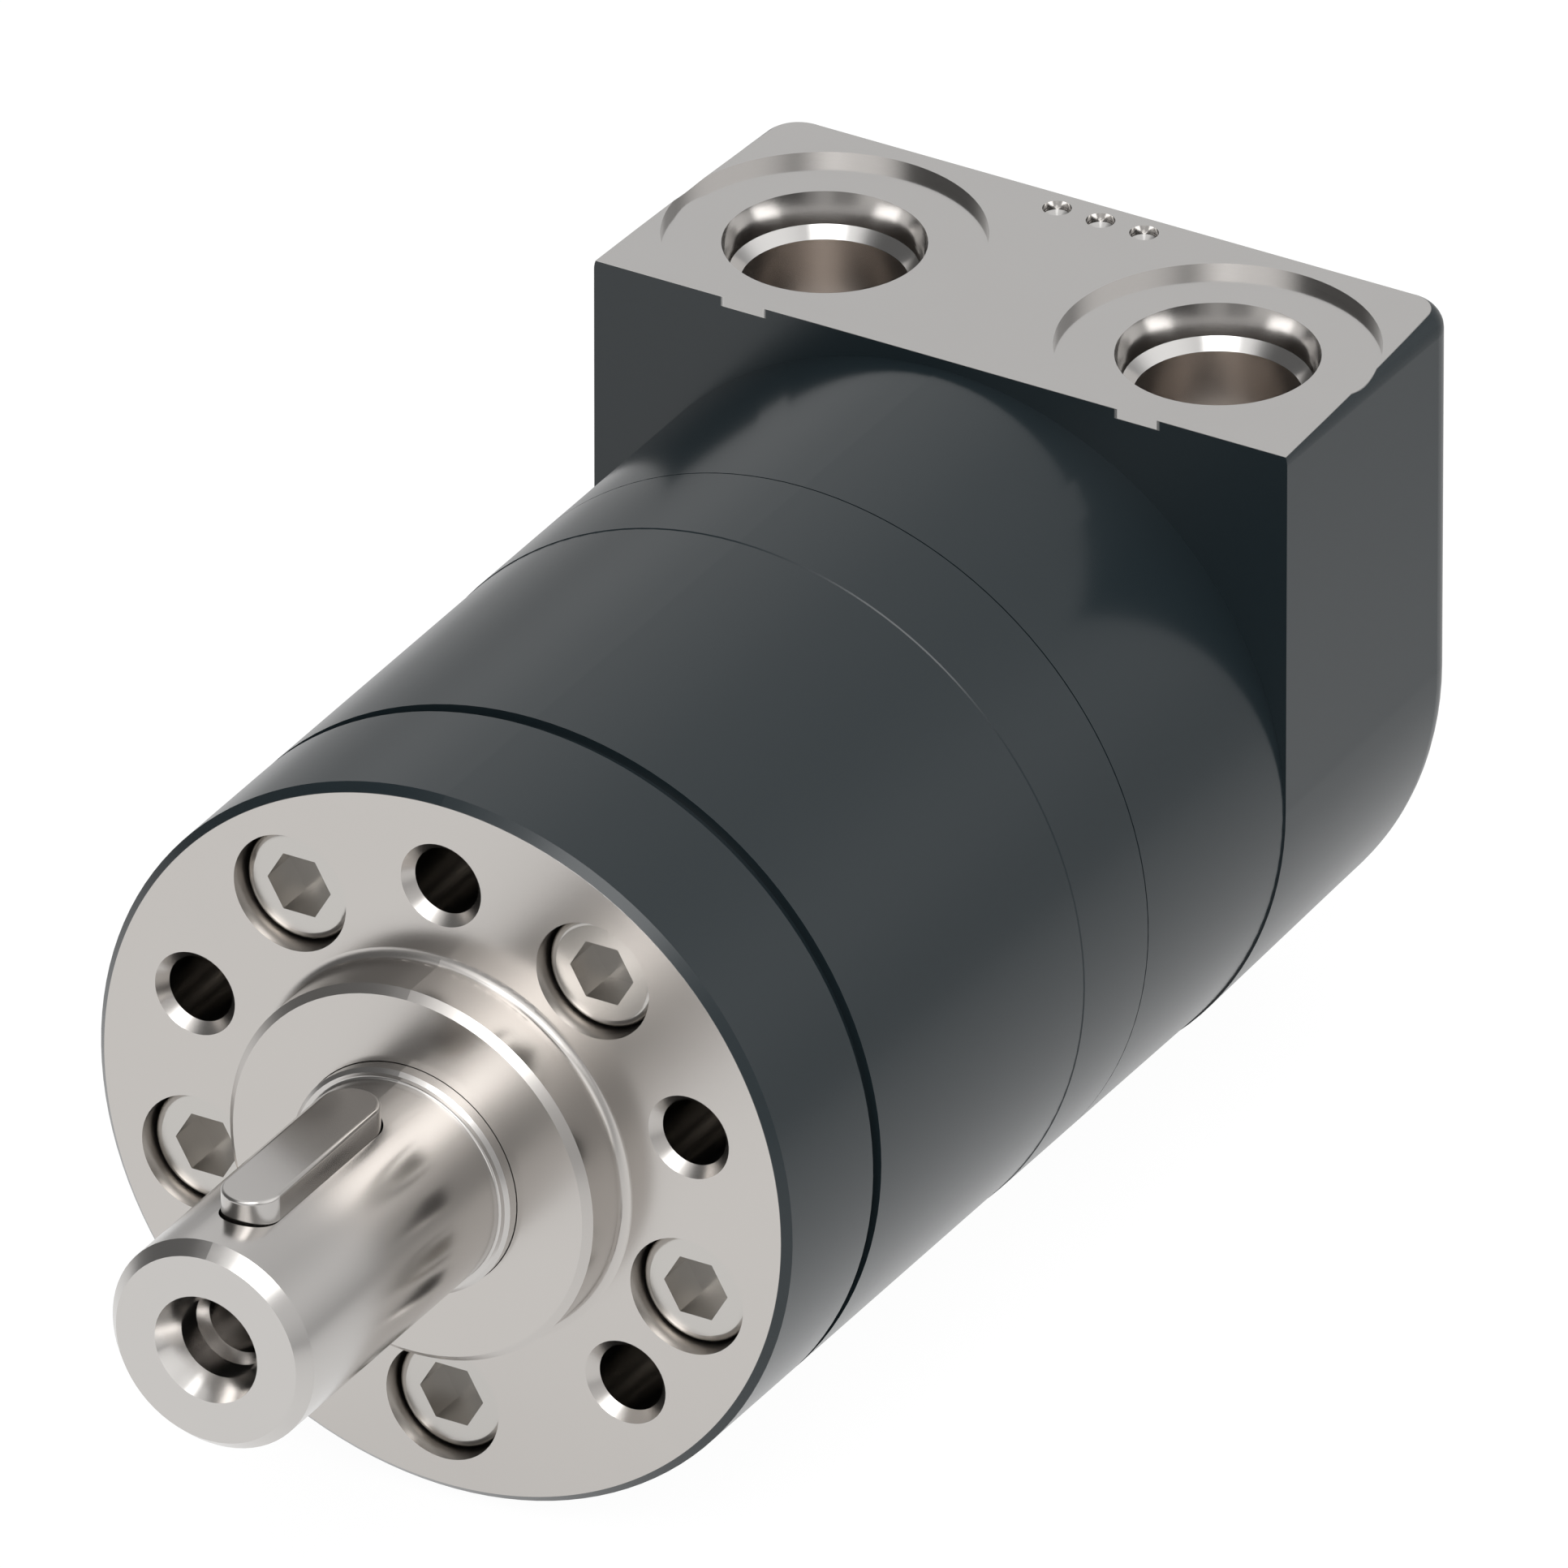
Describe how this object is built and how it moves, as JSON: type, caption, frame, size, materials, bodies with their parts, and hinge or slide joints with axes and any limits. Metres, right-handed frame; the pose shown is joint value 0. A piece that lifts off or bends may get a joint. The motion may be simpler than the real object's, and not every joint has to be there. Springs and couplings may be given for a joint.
{
  "type": "orbital hydraulic motor",
  "caption": "Orbital hydraulic motor with a round flanged body, a keyed output shaft with a pilot, and a rear block whose oil ports open upward.",
  "frame": {"origin": "centre of the mounting face, on the motor axis", "axes": "+Y along the motor axis from the shaft's side to the rear, +Z out of the oil ports, +X to the right seen from the shaft's end"},
  "size_m": [0.0604, 0.1373, 0.0612],
  "materials": {
    "painted_iron": "satin dark grey paint on cast iron, bare where it was machined",
    "machined_iron": "finely turned bare iron, painted on its outside edge",
    "screw_steel": "plain bright steel",
    "shaft_steel": "ground and polished steel",
    "bearing_steel": "ground bearing steel",
    "cage_steel": "pressed steel",
    "bronze": "plain bearing bronze",
    "hardened_steel": "case-hardened and ground steel",
    "nitrile_rubber": "matt black rubber"
  },
  "bodies": {
    "housing": {"front_cover": "machined_iron", "bearing_housing": "painted_iron", "gear_ring": "painted_iron", "port_housing": "painted_iron", "cover_screws": "screw_steel", "cover_face_seal": "nitrile_rubber", "gear_front_face_seal": "nitrile_rubber", "gear_rear_face_seal": "nitrile_rubber", "shaft_seal": "nitrile_rubber", "seal_garter_spring": "bearing_steel", "seal_backing_ring": "bearing_steel", "front_thrust_washer": "bearing_steel", "rear_thrust_washer": "bronze", "front_needle_cup": "bearing_steel", "rear_needle_cup": "bearing_steel", "spool_snap_ring": "bearing_steel"},
    "shaft": {"output_shaft": "shaft_steel", "shaft_key": "shaft_steel", "collar_thrust_washer": "bearing_steel"},
    "thrust_cage": {"thrust_rollers": "bearing_steel", "thrust_cage": "cage_steel"},
    "front_cage": {"front_needles": "bearing_steel", "front_needle_cage": "cage_steel"},
    "rear_cage": {"rear_needles": "bearing_steel", "rear_needle_cage": "cage_steel"},
    "orbiting_spacer": {"drive_spacer": "hardened_steel"},
    "rotor": {"gerotor_rotor": "hardened_steel"},
    "cardan": {"cardan_drive": "hardened_steel"},
    "valve_link": {"valve_drive": "hardened_steel"},
    "spool": {"valve_spool": "hardened_steel"}
  },
  "joints": [
    {"name": "shaft_spin", "type": "hinge", "parent": "housing", "child": "shaft", "pos_m": [0, 0, 0], "axis": [0, 1, 0], "continuous": true},
    {"name": "thrust_cage_spin", "type": "hinge", "parent": "housing", "child": "thrust_cage", "pos_m": [0, 0.00925, 0], "axis": [0, 1, 0], "continuous": true},
    {"name": "front_cage_spin", "type": "hinge", "parent": "housing", "child": "front_cage", "pos_m": [0, 0.0189, 0], "axis": [0, 1, 0], "continuous": true},
    {"name": "rear_cage_spin", "type": "hinge", "parent": "housing", "child": "rear_cage", "pos_m": [0, 0.0355, 0], "axis": [0, 1, 0], "continuous": true},
    {"name": "drive_orbit", "type": "hinge", "parent": "housing", "child": "orbiting_spacer", "pos_m": [0, 0.0497, 0], "axis": [0, 1, 0], "continuous": true},
    {"name": "rotor_spin", "type": "hinge", "parent": "orbiting_spacer", "child": "rotor", "pos_m": [0, 0.04931, -0.002], "axis": [0, 1, 0], "continuous": true},
    {"name": "cardan_spin", "type": "hinge", "parent": "orbiting_spacer", "child": "cardan", "pos_m": [0, 0.02, 0], "axis": [0, 0.9973, -0.074], "continuous": true},
    {"name": "valve_drive_spin", "type": "hinge", "parent": "orbiting_spacer", "child": "valve_link", "pos_m": [0, 0.0519, -0.002], "axis": [0, 0.9975, 0.071], "continuous": true},
    {"name": "spool_spin", "type": "hinge", "parent": "housing", "child": "spool", "pos_m": [0, 0.084, 0], "axis": [0, 1, 0], "continuous": true}
  ],
  "couplings": [
    {"joint": "thrust_cage_spin", "follows": "shaft_spin", "ratio": 0.5},
    {"joint": "front_cage_spin", "follows": "shaft_spin", "ratio": 0.44516},
    {"joint": "rear_cage_spin", "follows": "shaft_spin", "ratio": 0.44516},
    {"joint": "drive_orbit", "follows": "shaft_spin", "ratio": -4},
    {"joint": "rotor_spin", "follows": "shaft_spin", "ratio": 5},
    {"joint": "cardan_spin", "follows": "shaft_spin", "ratio": 5},
    {"joint": "valve_drive_spin", "follows": "shaft_spin", "ratio": 5},
    {"joint": "spool_spin", "follows": "shaft_spin", "ratio": 1}
  ]
}
